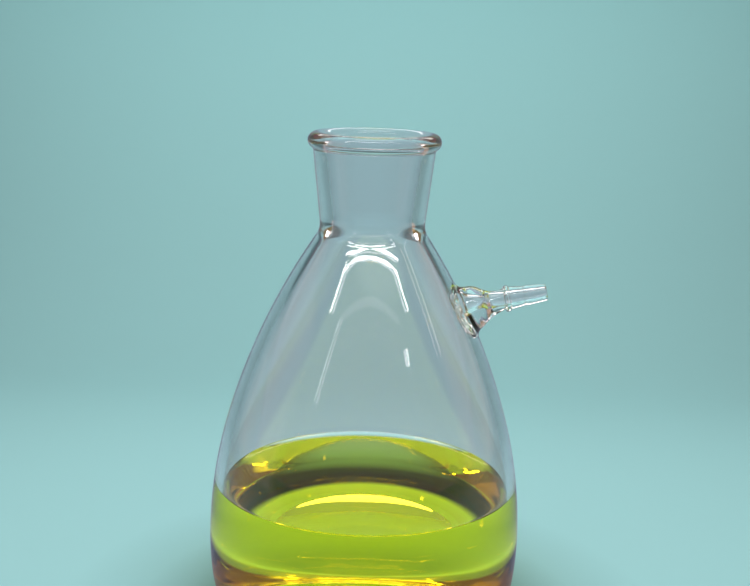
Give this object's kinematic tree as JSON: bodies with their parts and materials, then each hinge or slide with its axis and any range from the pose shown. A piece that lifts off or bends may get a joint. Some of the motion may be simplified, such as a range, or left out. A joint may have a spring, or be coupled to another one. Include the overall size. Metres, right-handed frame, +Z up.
{
  "type": "filter flask",
  "caption": "Blown glass filter flask with a tapered beaded neck and an upturned hose arm, part filled with a clear yellow-green solution.",
  "frame": {"origin": "centre of the foot ring, in the plane that the flask stands on", "axes": "+Z up along the axis of the flask, +X towards the hose arm"},
  "size_m": [0.1427, 0.135, 0.2115],
  "materials": {
    "flask_glass": "clear fire-polished borosilicate glass",
    "green_solution": "clear yellow-green watery solution"
  },
  "bodies": {
    "root": {"flask": "flask_glass", "liquid": "green_solution"}
  },
  "joints": []
}
